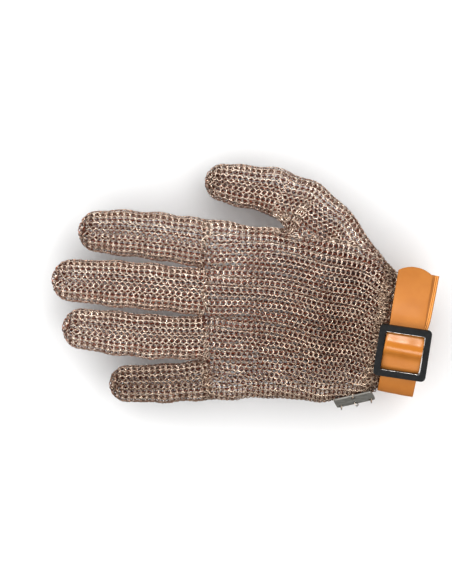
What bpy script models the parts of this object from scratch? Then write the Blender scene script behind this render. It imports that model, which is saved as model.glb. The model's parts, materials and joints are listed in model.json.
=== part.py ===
"""Ring-mail safety glove with a buckled wrist strap.

The glove keeps the form it has on a left hand, back of the hand up (+Z), fingers along -X
and thumb towards +Y. The origin is the centre of the wrist opening. Tables are in
millimetres and the finished meshes in metres.
"""

import math

import bmesh
import bpy
import numpy as np
from mathutils import Matrix, Vector

MM = 0.001

# ---- Mail: driving sizes in millimetres ---------------------------------------------------

MAIL_WALL = 1.8         # depth of the woven rings
PIECE_GAP = 0.38        # clearance between neighbouring mail pieces
JOINT_BLEND = 3.0       # rounding where two bones of one finger meet
PALM_BLEND = 9.0        # rounding between the bones of the palm
KNUCKLE_BLEND = 6.0     # rounding between the palm and its fingers
THUMB_BLEND = 14.0      # rounding between the palm and the thumb

# The worn form is a smooth union of flattened, tapering bones. A bone runs through its rows
# from the wrist end to the finger end.
BONE_COLUMNS = ("x", "y", "z", "half_width", "half_thickness")
PALM_BONES = {
    "index_palm": (
        (24, 20, -4, 12.0, 17.0),
        (-8, 24.5, -1, 13.0, 19.5),
        (-50, 37, 1, 14.0, 18.0),
        (-90, 47, 2, 15.5, 15.5),
        (-116, 52.5, 2, 13.4, 13.4),
    ),
    "middle_palm": (
        (22, 4, -4, 13.0, 22.0),
        (-2, 8, 0, 13.0, 22.5),
        (-50, 17.5, 2, 14.0, 19.0),
        (-90, 24, 3.5, 14.5, 16.0),
        (-116, 26, 3, 13.6, 13.5),
    ),
    "ring_palm": (
        (19, -12, -4, 13.0, 22.0),
        (-4, -7.5, -1, 13.0, 22.5),
        (-50, -2.5, 0.5, 14.0, 18.5),
        (-90, 0.5, 2, 14.0, 15.5),
        (-116, 1, 1, 12.8, 13.0),
    ),
    "little_palm": (
        (16, -26, -5, 10.5, 17.0),
        (-8, -20.5, -3, 10.8, 18.5),
        (-34, -20.3, -2.5, 12.2, 17.5),
        (-60, -21.9, -2.5, 13.2, 17.0),
        (-90, -20.6, -1.5, 12.2, 14.5),
        (-112, -20.9, -3, 12.1, 12.2),
    ),
}
FINGER_BONES = {
    "index": (
        (-116, 53, 2, 13.1, 13.0),
        (-134, 55.9, 1, 13.0, 12.3),
        (-152, 58.6, -1, 12.8, 11.3),
        (-172, 60.6, -4, 12.2, 10.6),
        (-186, 61.3, -7, 11.4, 9.8),
    ),
    "middle": (
        (-116, 26, 3, 13.0, 13.2),
        (-136, 27.6, 2.5, 12.3, 12.4),
        (-156, 29.9, 1, 12.5, 11.4),
        (-176, 31.6, -2, 12.4, 10.8),
        (-201, 33.4, -7.5, 11.6, 9.8),
    ),
    "ring": (
        (-116, 1, 1, 12.1, 12.6),
        (-136, 0.6, 0.5, 11.4, 11.8),
        (-156, 1.4, -1.5, 11.8, 11.0),
        (-176, 3.4, -4, 11.6, 10.4),
        (-195.5, 5.9, -8.5, 11.1, 9.4),
    ),
    "little": (
        (-112, -21.5, -3, 11.9, 11.8),
        (-130, -23.8, -5, 10.6, 10.6),
        (-148, -25.2, -7.5, 10.2, 9.8),
        (-169.5, -25.5, -11, 10.0, 8.8),
    ),
}
THUMB_BONES = (
    (-16, 22, -6, 15.0, 18.0),
    (-34, 40, -7, 12.2, 16.5),
    (-50, 61, -8.5, 15.0, 15.5),
    (-68, 76.2, -10, 14.0, 13.5),
    (-86, 84.6, -11.5, 12.6, 12.0),
    (-104, 87.4, -13, 11.3, 10.8),
    (-114.8, 89.4, -14, 10.2, 9.8),
)

# Crotches of the hand, each the point where two stalls part.
CROTCH_COLUMNS = ("x", "y", "z")
CROTCH_SPREAD = 2.3     # of the two grid points of a crotch, above and below its place
FINGER_CROTCHES = ((-129, 40.8, 1.5), (-129, 13.5, 1.5), (-126.3, -11.6, -2))
THUMB_CROTCH = (-81, 69.5, -4)

# ---- Wrist: the strap and the mail mouth share one tilted axis ----------------------------

WRIST_TILT = math.radians(-11)          # turn of the forearm axis about +Z
MOUTH_HALF_WIDTH = 32.0
MOUTH_HALF_HEIGHT = 21.0
CUFF_ROWS = (-23.4, -15.0)              # places of the mail's last rows along the axis
MOUTH_FLARE = 1.0                       # growth of the mouth for each mm towards the hand
MOUTH_FLARE_START = CUFF_ROWS[0]
MOUTH_BLEND = 2.5

STRAP_WIDTH = 20.6
STRAP_THICKNESS = 1.2
STRAP_HALF_WIDTH = 33.4                 # oval of the strap's middle surface
STRAP_HALF_HEIGHT = 22.4
STRAP_EDGE_ROUND = 0.25
STRAP_SHARES = (-1, -0.75, 0, 0.75, 1)  # lengthwise lines across the strap
TONGUE_END_RADIUS = 15.0
TONGUE_END_ROWS = 4                     # rows drawn back to round the tongue's end
STRAP_ROW_STEP = 2.5                    # spacing of the strap's rows along its run
CURVE_STEPS = 12                        # of the curve between two of its given places

# The strap's run in the wrist's frame, from its tongue to the lap under the buckle's bar.
STRAP_COLUMNS = ("across", "up", "along")
TONGUE_RUN = (
    (39.0, 11.6, -12.2),
    (33.0, 15.6, -12.2),
    (27.0, 18.9, -12.1),
    (20.0, 21.7, -12.0),
    (12.0, 24.2, -11.9),
    (5.0, 25.25, -11.7),
    (0.8, 25.55, -11.5),
    (-2.2, 26.3, -11.4),
    (-5.5, 27.3, -11.4),
    (-8.6, 27.0, -11.4),
    (-10.6, 25.5, -11.4),
    (-11.8, 23.3, -11.4),
    (-13.6, 21.4, -11.3),
    (-16.5, 19.9, -11.2),
    (-20.0, 18.1, -11.1),
)
LOOP_ALONG = (-11.0, -10.4)             # places along the axis at the loop's start and end
LOOP_TURNS = (math.radians(133.5), math.radians(420))
LOOP_PLACES = 33
LAP_CENTRE = (-7.6, 23.6)               # axis of the fold round the middle bar
LAP_RADIUS = 1.8
LAP_ALONG = -11.4
LAP_TURNS = np.radians([-90, -126, -162, -198, -234, -270])
LAP_RUN_IN = ((9.0, 21.57, -10.9), (2.0, 22.36, -11.3), (-4.5, 22.1, -11.4))
LAP_RETURN = (
    (-5.0, 25.4, -11.4),
    (-2.2, 24.55, -11.4),
    (1.0, 23.95, -11.3),
    (7.0, 23.45, -10.7),
    (12.0, 22.5, -10.4),
    (20.0, 19.65, -10.4),
    (27.0, 15.2, -10.4),
    (31.5, 10.9, -10.4),
)

# ---- Buckle: a flat slide frame with a lowered middle bar ---------------------------------

FRAME_WIDTH = 29.9
FRAME_HEIGHT = 30.6
FRAME_THICKNESS = 2.0
FRAME_CORNER = 2.6
OPENING_WIDTH = 22.6
OPENING_HEIGHT = 22.7
OPENING_CORNER = 0.8
FRAME_EDGE_ROUND = 0.35
FRAME_CENTRE = (-13.1, -7.7, 23.9)
FRAME_TURN = math.radians(-8.5)         # about +Z
FRAME_LEAN = math.radians(18.1)         # the frame follows the strap down at its far end
BAR_DIAMETER = 1.5
BAR_PLACE = (3.7, -1.5)                 # of the bar, up the frame and above its plane

# ---- Plate: a bare sheet-metal tab on the little-finger side ------------------------------

PLATE_LENGTH = 22.4
PLATE_HEIGHT = 10.0
PLATE_THICKNESS = 1.0
PLATE_CORNER = 1.2
PLATE_CENTRE = (-40.3, -34.4, 3.3)
PLATE_ALONG = (21.6, 4.9, 3.4)          # direction of its length
PLATE_DOWN = (2.4, -4.1, -8.8)          # direction of its height
PLATE_HOLE = 2.4                        # diameter
PLATE_HOLE_PLACES = ((-8.8, 3.2), (0.0, 3.2), (8.8, 3.2), (0.0, -3.2))

# ---- Mail grid ----------------------------------------------------------------------------

TOP_COLUMNS = 5         # columns over the back of one finger, and as many under it
SIDE_COLUMNS = 3        # columns down each side of a finger
KNUCKLE_ROWS = 5        # palm rows from the knuckles to the thumb's crotch
THENAR_ROWS = 8         # palm rows from the thumb's crotch to the wrist
PALM_RUN = 110.0        # from the knuckles to the wrist
FINGER_ROWS = 11
THUMB_ROOT_ROWS = 6     # rows that lead from the thumb's slot to its first full loop
THUMB_ROWS = 7
THUMB_STATIONS = 40
THUMB_BACK_TURN = math.radians(118)     # share of the first loop along the slot's back edge
THUMB_WEB_TURN = math.radians(62)       # share of the first loop across the web
TIP_TURNS = (math.radians(32), math.radians(62))
RELAX_ROUNDS = 60
RELAX_SHARE = 0.5       # of the way to its neighbours' mean that a point moves in a round

# Settling a point on the worn form.
PROBE = 0.05            # half the length over which the field's slope is measured
LONGEST_STEP = 3.0
LEAST_SLOPE = 0.05      # squared slope below which the field counts as flat


def unit(vector):
    return vector / np.linalg.norm(vector)


def blend_min(first, second, blend):
    """Smaller of two fields, rounded where they are closer than the blend."""
    share = np.clip(0.5 + 0.5 * (second - first) / blend, 0, 1)
    return second + (first - second) * share - blend * share * (1 - share)


def bone_field(points, start, end):
    """Field of one tapering bone: negative inside, zero on the surface."""
    start = np.array(start, float)
    end = np.array(end, float)
    run = end[:2] - start[:2]
    along = np.clip((points[:, :2] - start[:2]) @ run / (run @ run), 0, 1)[:, None]
    row = start + (end - start) * along
    across = np.hypot(points[:, 0] - row[:, 0], points[:, 1] - row[:, 1]) / row[:, 3]
    upright = (points[:, 2] - row[:, 2]) / row[:, 4]
    return (np.hypot(across, upright) - 1) * np.minimum(row[:, 3], row[:, 4])


def chain_field(points, rows):
    """Field of a chain of bones."""
    field = bone_field(points, rows[0], rows[1])
    for start, end in zip(rows[1:-1], rows[2:]):
        field = blend_min(field, bone_field(points, start, end), JOINT_BLEND)
    return field


def wrist_place(points):
    """Coordinates along, across and above the wrist axis."""
    cos = math.cos(WRIST_TILT)
    sin = math.sin(WRIST_TILT)
    along = points[:, 0] * cos + points[:, 1] * sin
    across = points[:, 1] * cos - points[:, 0] * sin
    return along, across, points[:, 2]


def wrist_point(along, across, up):
    """World point from coordinates in the wrist's frame."""
    cos = math.cos(WRIST_TILT)
    sin = math.sin(WRIST_TILT)
    return (along * cos - across * sin, along * sin + across * cos, up)


def mouth_field(points):
    """Field of the oval that the strap pulls the mail into."""
    along, across, up = wrist_place(points)
    flare = MOUTH_FLARE * np.maximum(MOUTH_FLARE_START - along, 0)
    reach = np.hypot(across / (MOUTH_HALF_WIDTH + flare), up / (MOUTH_HALF_HEIGHT + flare))
    return (reach - 1) * MOUTH_HALF_HEIGHT


def hand_field(points):
    """Field of the whole worn form."""
    palm = None
    for rows in PALM_BONES.values():
        field = chain_field(points, rows)
        palm = field if palm is None else blend_min(palm, field, PALM_BLEND)
    fingers = np.min([chain_field(points, rows) for rows in FINGER_BONES.values()], axis=0)
    hand = blend_min(palm, fingers, KNUCKLE_BLEND)
    hand = blend_min(hand, chain_field(points, THUMB_BONES), THUMB_BLEND)
    return -blend_min(-hand, -mouth_field(points), MOUTH_BLEND)


def settle(points, steps):
    """Move points straight onto the surface of the worn form."""
    for _ in range(steps):
        slope = np.empty_like(points)
        for axis in range(3):
            shift = np.zeros(3)
            shift[axis] = PROBE
            slope[:, axis] = hand_field(points + shift) - hand_field(points - shift)
        slope /= 2 * PROBE
        steepness = np.maximum((slope ** 2).sum(axis=1), LEAST_SLOPE)
        step = slope * (hand_field(points) / steepness)[:, None]
        length = np.maximum(np.linalg.norm(step, axis=1), PROBE)[:, None]
        points = points - step * np.minimum(1, LONGEST_STEP / length)
    return points


class MailGrid:
    """Grid of mail columns and rows: points, how each is held, and faces by piece.

    A point is "free" to even out, "settled" once on the worn form, or "fixed" where it is.
    """

    def __init__(self):
        self.points = []
        self.hold = []
        self.faces = {}

    def add(self, point, hold="free"):
        self.points.append(np.array(point, float))
        self.hold.append(hold)
        return len(self.points) - 1

    def span(self, piece, first, second, closed=True):
        """Faces between two loops, or two strips, of equal length."""
        count = len(first) if closed else len(first) - 1
        for i in range(count):
            j = (i + 1) % len(first)
            self.faces.setdefault(piece, []).append((first[i], second[i], second[j], first[j]))


def oval_points(row, first_angle, count, step):
    """Points round a bone's section, counted from the thumb side over the back."""
    x, y, z, half_width, half_thickness = row
    angles = [first_angle + step * i for i in range(count)]
    return [(x, y + half_width * math.cos(a), z + half_thickness * math.sin(a)) for a in angles]


FINGER_LOOP = 2 * (TOP_COLUMNS + SIDE_COLUMNS)
LOOP_STEP = 2 * math.pi / FINGER_LOOP
FIRST_ANGLE = LOOP_STEP * SIDE_COLUMNS / 2


def chain_stations(rows, count):
    """Rows at even distances along a chain, ending short of its rounded tip."""
    rows = np.array(rows, float)
    reach = np.concatenate([[0], np.cumsum(np.linalg.norm(np.diff(rows[:, :3], axis=0), axis=1))])
    return [[np.interp(d, reach, rows[:, i]) for i in range(5)]
            for d in np.linspace(0, reach[-1], count)]


def knuckle_row(grid):
    """Row of points where the palm meets its four fingers."""
    fingers = list(FINGER_BONES.values())
    top, bottom = [], []
    for number, rows in enumerate(fingers):
        loop = oval_points(rows[0], FIRST_ANGLE, FINGER_LOOP, LOOP_STEP)
        over = loop[:TOP_COLUMNS + 1]
        under = loop[TOP_COLUMNS + SIDE_COLUMNS:2 * TOP_COLUMNS + SIDE_COLUMNS + 1][::-1]
        if number:
            top[-1] = np.mean([top[-1], over[0]], axis=0)
            bottom[-1] = np.mean([bottom[-1], under[0]], axis=0)
            over, under = over[1:], under[1:]
        top.extend(over)
        bottom.extend(under)
    first = oval_points(fingers[0][0], FIRST_ANGLE - LOOP_STEP, SIDE_COLUMNS - 1, -LOOP_STEP)
    last = oval_points(fingers[-1][0], FIRST_ANGLE + LOOP_STEP * (TOP_COLUMNS + 1),
                       SIDE_COLUMNS - 1, LOOP_STEP)
    return {"top": [grid.add(p) for p in top], "bottom": [grid.add(p) for p in bottom],
            "thumb_side": [grid.add(p) for p in first], "far_side": [grid.add(p) for p in last]}


def cuff_row(grid, counts, along):
    """Fixed row of points round the wrist."""
    total = sum(counts)
    fine = np.linspace(0, 2 * math.pi, 721)
    oval = np.stack([MOUTH_HALF_WIDTH * np.cos(fine), MOUTH_HALF_HEIGHT * np.sin(fine)], axis=1)
    reach = np.concatenate([[0], np.cumsum(np.linalg.norm(np.diff(oval, axis=0), axis=1))])
    start = counts[3] / 2
    ids = []
    for i in range(total):
        angle = np.interp(((start + i) % total) / total * reach[-1], reach, fine)
        ids.append(grid.add(wrist_point(along, MOUTH_HALF_WIDTH * math.cos(angle),
                                        MOUTH_HALF_HEIGHT * math.sin(angle)), "fixed"))
    over, far, under, _ = counts
    return {"top": ids[:over + 1], "far_side": ids[over + 1:over + far],
            "bottom": ids[over + far:over + far + under + 1][::-1],
            "thumb_side": ids[over + far + under + 1:][::-1]}


def between_rows(grid, first, last, share, sides):
    """Row of points part of the way between two rows."""
    return {side: [grid.add(grid.points[a] * (1 - share) + grid.points[b] * share)
                   for a, b in zip(first[side], last[side])] for side in sides}


def palm_rows(grid):
    """Rows of the palm tube, from the knuckles to the wrist."""
    over = TOP_COLUMNS * len(FINGER_BONES)
    first = knuckle_row(grid)
    cuff = [cuff_row(grid, (over, SIDE_COLUMNS, over, SIDE_COLUMNS), s) for s in CUFF_ROWS]
    count = KNUCKLE_ROWS + THENAR_ROWS
    crotch_share = (THUMB_CROTCH[0] - grid.points[first["top"][0]][0]) / PALM_RUN
    shares = np.concatenate([np.linspace(0, crotch_share, KNUCKLE_ROWS + 1),
                             np.linspace(crotch_share, 1, THENAR_ROWS + 1)[1:]])
    rows = [first]
    for number in range(1, count):
        sides = list(first) if number <= KNUCKLE_ROWS else ["top", "bottom", "far_side"]
        rows.append(between_rows(grid, first, cuff[0], shares[number], sides))
    return rows + cuff


def span_palm(grid, rows):
    """Faces of the palm: a tube with a slot for the thumb between its crotch and the cuff."""
    slot = range(KNUCKLE_ROWS, KNUCKLE_ROWS + THENAR_ROWS)
    for number, (row, following) in enumerate(zip(rows[:-1], rows[1:])):
        strips = []
        for part in (following, row):
            strip = part["top"] + part["far_side"] + part["bottom"][::-1]
            if number not in slot:
                strip = strip + part["thumb_side"][::-1]
            strips.append(strip)
        grid.span("mail_palm", strips[0], strips[1], closed=number not in slot)


def close_tip(grid, piece, loop, tip):
    """Cap of triangles round a stall's end point."""
    for i, point in enumerate(loop):
        following = loop[(i + 1) % len(loop)]
        grid.faces[piece].append((following, point, tip))


def tip_loops(grid, row, direction, angles):
    """Loops that close in over a bone's rounded end, and its end point."""
    loops = []
    centre = np.array(row[:3])
    side = np.array([-direction[1], direction[0], 0.0])
    for turn in TIP_TURNS:
        loop = []
        for angle in angles:
            around = -side * row[3] * math.cos(angle) * math.cos(turn)
            lift = np.array([0, 0, row[4] * math.sin(angle) * math.cos(turn)])
            loop.append(grid.add(centre + direction * row[3] * math.sin(turn) + around + lift))
        loops.append(loop)
    return loops, grid.add(centre + direction * row[3])


def span_finger(grid, number, knuckles, crotches):
    """Loops and faces of one finger stall, from its root to its closed tip."""
    name = list(FINGER_BONES)[number]
    piece = "mail_" + name
    rows = FINGER_BONES[name]
    low = TOP_COLUMNS * number
    high = low + TOP_COLUMNS
    last_finger = number == len(FINGER_BONES) - 1
    far = knuckles["far_side"] if last_finger else crotches[number]
    near = crotches[number - 1] if number else knuckles["thumb_side"]
    loop = (knuckles["top"][low:high + 1] + far + knuckles["bottom"][low:high + 1][::-1]
            + near[::-1])
    for station in chain_stations(rows, FINGER_ROWS + 1)[2:]:
        ring = [grid.add(p) for p in oval_points(station, FIRST_ANGLE, FINGER_LOOP, LOOP_STEP)]
        grid.span(piece, loop, ring)
        loop = ring
    direction = unit(np.array(rows[-1][:3], float) - np.array(rows[-2][:3], float))
    angles = [FIRST_ANGLE + LOOP_STEP * i for i in range(FINGER_LOOP)]
    caps, tip = tip_loops(grid, rows[-1], direction, angles)
    for ring in caps:
        grid.span(piece, loop, ring)
        loop = ring
    close_tip(grid, piece, loop, tip)


def thumb_turns():
    """Turns of the thumb's grid points: back edge, web, palm edge and heel."""
    corners = np.cumsum([THUMB_WEB_TURN / 2, THUMB_BACK_TURN, THUMB_WEB_TURN, THUMB_BACK_TURN,
                         THUMB_WEB_TURN])
    counts = (THENAR_ROWS, SIDE_COLUMNS, THENAR_ROWS, SIDE_COLUMNS)
    return np.concatenate([np.linspace(start, end, count, endpoint=False)
                           for start, end, count in zip(corners, corners[1:], counts)])


def thumb_section(station, axis, turns):
    """Points round one section of the thumb."""
    side = unit(np.array([-axis[1], axis[0], 0.0]))
    return [np.array(station[:3]) - side * station[3] * math.cos(t)
            + np.array([0, 0, station[4] * math.sin(t)]) for t in turns]


def span_thumb(grid, rows):
    """Loops and faces of the thumb stall, whose root reaches back to the cuff."""
    piece = "mail_thumb"
    behind = rows[KNUCKLE_ROWS:-1]
    web = behind[0]["thumb_side"]
    heel = behind[-1]["thumb_side"]
    root = ([r["top"][0] for r in reversed(behind)] + web
            + [r["bottom"][0] for r in behind] + heel[::-1])
    stations = [r for r in chain_stations(THUMB_BONES, THUMB_STATIONS) if r[0] < THUMB_CROTCH[0]]
    axis = unit(np.array(stations[-1][:3]) - np.array(stations[0][:3]))
    turns = thumb_turns()
    neck = thumb_section(stations[0], axis, turns)
    loop = root
    for share in np.linspace(0, 1, THUMB_ROOT_ROWS + 1)[1:]:
        ring = [grid.add(grid.points[i] * (1 - share) + place * share)
                for i, place in zip(root, neck)]
        grid.span(piece, loop, ring)
        loop = ring
    for pick in np.linspace(0, len(stations) - 1, THUMB_ROWS + 1)[1:]:
        ring = [grid.add(p) for p in thumb_section(stations[int(round(pick))], axis, turns)]
        grid.span(piece, loop, ring)
        loop = ring
    caps, tip = tip_loops(grid, THUMB_BONES[-1], axis, turns)
    for ring in caps:
        grid.span(piece, loop, ring)
        loop = ring
    close_tip(grid, piece, loop, tip)


def relax(grid):
    """Even out the grid while it stays on the worn form."""
    hold = np.array(grid.hold)
    start = np.array(grid.points)
    points = np.where((hold == "fixed")[:, None], start, settle(start, 6))
    free = (hold == "free")[:, None]
    edges = {tuple(sorted((face[i], face[(i + 1) % len(face)])))
             for faces in grid.faces.values() for face in faces for i in range(len(face))}
    edges = np.array(sorted(edges))
    degree = np.bincount(edges.ravel(), minlength=len(points))[:, None]
    for _ in range(RELAX_ROUNDS):
        total = np.zeros_like(points)
        np.add.at(total, edges[:, 0], points[edges[:, 1]])
        np.add.at(total, edges[:, 1], points[edges[:, 0]])
        moved = settle(points + RELAX_SHARE * (total / degree - points), 1)
        points = np.where(free, moved, points)
    return np.where(free, settle(points, 3), points)


def mail_sheets():
    """Points and faces of each mail piece."""
    grid = MailGrid()
    rows = palm_rows(grid)
    span_palm(grid, rows)
    crotches = [[grid.add((x, y, z + lift), "settled") for lift in (CROTCH_SPREAD, -CROTCH_SPREAD)]
                for x, y, z in FINGER_CROTCHES]
    for number in range(len(FINGER_BONES)):
        span_finger(grid, number, rows[0], crotches)
    span_thumb(grid, rows)
    return relax(grid), grid.faces


# ---- Building the objects -----------------------------------------------------------------

STEEL = ("ring_mail_steel", (0.62, 0.60, 0.57), 0.32, 1.0)
STRAP_ORANGE = ("orange_strap", (0.80, 0.30, 0.08), 0.42, 0.0)
BUCKLE_BLACK = ("black_coated_steel", (0.022, 0.024, 0.026), 0.45, 0.3)
PLATE_STEEL = ("plate_steel", (0.36, 0.36, 0.34), 0.42, 1.0)


def clear_scene():
    for item in list(bpy.data.objects):
        bpy.data.objects.remove(item)


def new_collection(name):
    collection = bpy.data.collections.new(name)
    bpy.context.scene.collection.children.link(collection)
    return collection


def make_material(finish):
    name, colour, roughness, metallic = finish
    material = bpy.data.materials.get(name) or bpy.data.materials.new(name)
    material.use_nodes = True
    shader = material.node_tree.nodes["Principled BSDF"]
    shader.inputs["Base Color"].default_value = (*colour, 1)
    shader.inputs["Roughness"].default_value = roughness
    shader.inputs["Metallic"].default_value = metallic
    return material


def mesh_object(name, bm, collection, finish):
    """New object from a bmesh that is already in metres."""
    mesh = bpy.data.meshes.new(name)
    bm.to_mesh(mesh)
    bm.free()
    item = bpy.data.objects.new(name, mesh)
    collection.objects.link(item)
    mesh.materials.append(make_material(finish))
    mesh.shade_smooth()
    return item


def add_rounding(item, width):
    rounding = item.modifiers.new("rounding", "BEVEL")
    rounding.width = width * MM
    rounding.segments = 2
    rounding.limit_method = "ANGLE"
    rounding.angle_limit = math.radians(40)


def grid_normals(points, pieces):
    """Outward unit normals, shared by the pieces that meet at a point."""
    normals = np.zeros_like(points)
    for faces in pieces.values():
        for face in faces:
            corners = points[list(face)]
            facing = unit(np.cross(corners[1] - corners[0], corners[-1] - corners[0]))
            for i in face:
                normals[i] += facing
    return normals / np.linalg.norm(normals, axis=1)[:, None]


def drawn_back(place, before, after, normal):
    """Edge point moved square into its piece, half the gap away from both its edges."""
    sides = [unit(np.cross(normal, place - before)), unit(np.cross(normal, after - place))]
    return place + (sides[0] + sides[1]) / (1 + sides[0] @ sides[1]) * PIECE_GAP / 2


def mail_piece(name, points, normals, faces, shared, collection):
    """One mail piece as a closed wall, drawn back from its neighbours.

    Its inner skin follows normals that neighbouring pieces share, so that their cut edges
    stay parallel.
    """
    sides = {side for face in faces for side in zip(face, face[1:] + face[:1])}
    open_sides = sorted(side for side in sides if side[::-1] not in sides)
    after = dict(open_sides)
    before = {following: here for here, following in open_sides}
    bm = bmesh.new()
    outer, inner = {}, {}
    for i in sorted({i for face in faces for i in face}):
        place = points[i]
        if i in shared:
            place = drawn_back(place, points[before[i]], points[after[i]], normals[i])
        outer[i] = bm.verts.new(place * MM)
        inner[i] = bm.verts.new((place - normals[i] * MAIL_WALL) * MM)
    for face in faces:
        bm.faces.new([outer[i] for i in face])
        bm.faces.new([inner[i] for i in reversed(face)])
    for here, following in open_sides:
        bm.faces.new((outer[following], outer[here], inner[here], inner[following]))
    mesh_object(name, bm, collection, STEEL)


def build_mail(collection):
    points, pieces = mail_sheets()
    owners = {}
    for name, faces in pieces.items():
        for face in faces:
            for i in face:
                owners.setdefault(i, set()).add(name)
    shared = {i for i, names in owners.items() if len(names) > 1}
    normals = grid_normals(points, pieces)
    for name, faces in pieces.items():
        mail_piece(name, points, normals, faces, shared, collection)


def loop_run():
    """Strap stretch that goes once round the wrist."""
    turns = np.linspace(*LOOP_TURNS, LOOP_PLACES)
    along = np.linspace(*LOOP_ALONG, LOOP_PLACES)
    return [(STRAP_HALF_WIDTH * math.cos(t), STRAP_HALF_HEIGHT * math.sin(t), place)
            for t, place in zip(turns, along)]


def lap_fold():
    """Strap stretch that folds round the buckle's middle bar."""
    return [(LAP_CENTRE[0] + LAP_RADIUS * math.cos(t), LAP_CENTRE[1] + LAP_RADIUS * math.sin(t),
             LAP_ALONG) for t in LAP_TURNS]


def smooth_run(corners):
    """Evenly spaced points on a smooth curve through the given ones."""
    corners = np.array(corners, float)
    padded = np.vstack([2 * corners[0] - corners[1], corners, 2 * corners[-1] - corners[-2]])
    fine = []
    for a, b, c, d in zip(padded, padded[1:], padded[2:], padded[3:]):
        for t in np.linspace(0, 1, CURVE_STEPS, endpoint=False):
            fine.append(0.5 * (2 * b + (c - a) * t + (2 * a - 5 * b + 4 * c - d) * t ** 2
                               + (3 * b - a - 3 * c + d) * t ** 3))
    fine = np.array(fine + [corners[-1]])
    reach = np.concatenate([[0], np.cumsum(np.linalg.norm(np.diff(fine, axis=0), axis=1))])
    even = np.linspace(0, reach[-1], int(round(reach[-1] / STRAP_ROW_STEP)) + 1)
    return np.stack([np.interp(even, reach, fine[:, i]) for i in range(3)], axis=1)


def round_tongue(bm, rows, run):
    """Draw the first rows back so that the tongue ends in an arc."""
    inward = unit(np.array(wrist_point(0, *(run[TONGUE_END_ROWS][:2] - run[0][:2]))))
    for number in range(TONGUE_END_ROWS):
        fade = 1 - number / TONGUE_END_ROWS
        for vert, share in zip(rows[number], STRAP_SHARES):
            chord = math.sqrt(TONGUE_END_RADIUS ** 2 - (share * STRAP_WIDTH / 2) ** 2)
            vert.co += Vector(inward * (TONGUE_END_RADIUS - chord) * fade * MM)


def build_strap(collection):
    """Wrist strap: one ribbon from its tongue, round the wrist, to its lap at the buckle."""
    run = smooth_run([*TONGUE_RUN, *loop_run(), *LAP_RUN_IN, *lap_fold(), *LAP_RETURN])
    bm = bmesh.new()
    rows = []
    for across, up, along in run:
        places = [wrist_point(along + share * STRAP_WIDTH / 2, across, up)
                  for share in STRAP_SHARES]
        rows.append([bm.verts.new(Vector(place) * MM) for place in places])
    for row, following in zip(rows, rows[1:]):
        for i in range(len(row) - 1):
            bm.faces.new((row[i], row[i + 1], following[i + 1], following[i]))
    round_tongue(bm, rows, run)
    strap = mesh_object("wrist_strap", bm, collection, STRAP_ORANGE)
    shell = strap.modifiers.new("thickness", "SOLIDIFY")
    shell.thickness = STRAP_THICKNESS * MM
    shell.offset = 0
    shell.use_even_offset = True
    add_rounding(strap, STRAP_EDGE_ROUND)


def rounded_block(name, size, corner, collection, finish):
    """Block with rounded upright edges, from a primitive cube."""
    bm = bmesh.new()
    bmesh.ops.create_cube(bm, size=1)
    bmesh.ops.scale(bm, vec=[length * MM for length in size], verts=bm.verts)
    upright = [e for e in bm.edges if e.verts[0].co.z != e.verts[1].co.z]
    bmesh.ops.bevel(bm, geom=upright, offset=corner * MM, segments=5, profile=0.5,
                    affect="EDGES")
    return mesh_object(name, bm, collection, finish)


def round_bar(name, diameter, length, collection, finish):
    bm = bmesh.new()
    bmesh.ops.create_cone(bm, cap_ends=True, segments=16, depth=length * MM,
                          radius1=diameter / 2 * MM, radius2=diameter / 2 * MM)
    return mesh_object(name, bm, collection, finish)


def make_cutter(item):
    item.hide_render = True
    item.display_type = "WIRE"


def add_boolean(item, other, operation):
    cut = item.modifiers.new(other.name, "BOOLEAN")
    cut.object = other
    cut.operation = operation
    cut.solver = "EXACT"


def build_buckle(collection, cutters):
    """Slide frame with its opening, joined to a lowered middle bar."""
    frame = rounded_block("strap_buckle", (FRAME_WIDTH, FRAME_HEIGHT, FRAME_THICKNESS),
                          FRAME_CORNER, collection, BUCKLE_BLACK)
    opening = rounded_block("buckle_opening", (OPENING_WIDTH, OPENING_HEIGHT, 3 * FRAME_THICKNESS),
                            OPENING_CORNER, cutters, BUCKLE_BLACK)
    bar = round_bar("buckle_bar", BAR_DIAMETER, OPENING_WIDTH + FRAME_THICKNESS, cutters,
                    BUCKLE_BLACK)
    place = bpy.data.objects.new("buckle_place", None)
    collection.objects.link(place)
    place.location = Vector(FRAME_CENTRE) * MM
    place.rotation_euler = (FRAME_LEAN, 0, FRAME_TURN)
    for item in (frame, opening, bar):
        item.parent = place
    bar.location = (0, BAR_PLACE[0] * MM, BAR_PLACE[1] * MM)
    bar.rotation_euler = (0, math.pi / 2, 0)
    for cutter in (opening, bar):
        make_cutter(cutter)
    add_boolean(frame, opening, "DIFFERENCE")
    add_boolean(frame, bar, "UNION")
    add_rounding(frame, FRAME_EDGE_ROUND)


def build_plate(collection, cutters):
    """Sheet-metal tab with small holes for the rings that hold it."""
    along = unit(np.array(PLATE_ALONG))
    down = unit(np.array(PLATE_DOWN) - along * (along @ np.array(PLATE_DOWN)))
    frame = np.eye(4)
    frame[:3, 0] = along
    frame[:3, 1] = down
    frame[:3, 2] = np.cross(along, down)
    frame[:3, 3] = np.array(PLATE_CENTRE) * MM
    plate = rounded_block("cuff_plate", (PLATE_LENGTH, PLATE_HEIGHT, PLATE_THICKNESS),
                          PLATE_CORNER, collection, PLATE_STEEL)
    plate.matrix_world = Matrix(frame.tolist())
    for number, (across, up) in enumerate(PLATE_HOLE_PLACES):
        hole = round_bar("plate_hole_%d" % (number + 1), PLATE_HOLE, 3 * PLATE_THICKNESS,
                         cutters, PLATE_STEEL)
        hole.matrix_world = plate.matrix_world @ Matrix.Translation((across * MM, up * MM, 0))
        make_cutter(hole)
        add_boolean(plate, hole, "DIFFERENCE")


clear_scene()
glove = new_collection("chainmail_glove")
cutters = new_collection("cutters")
build_mail(glove)
build_strap(glove)
build_buckle(glove, cutters)
build_plate(glove, cutters)
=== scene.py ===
import json
import math

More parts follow.
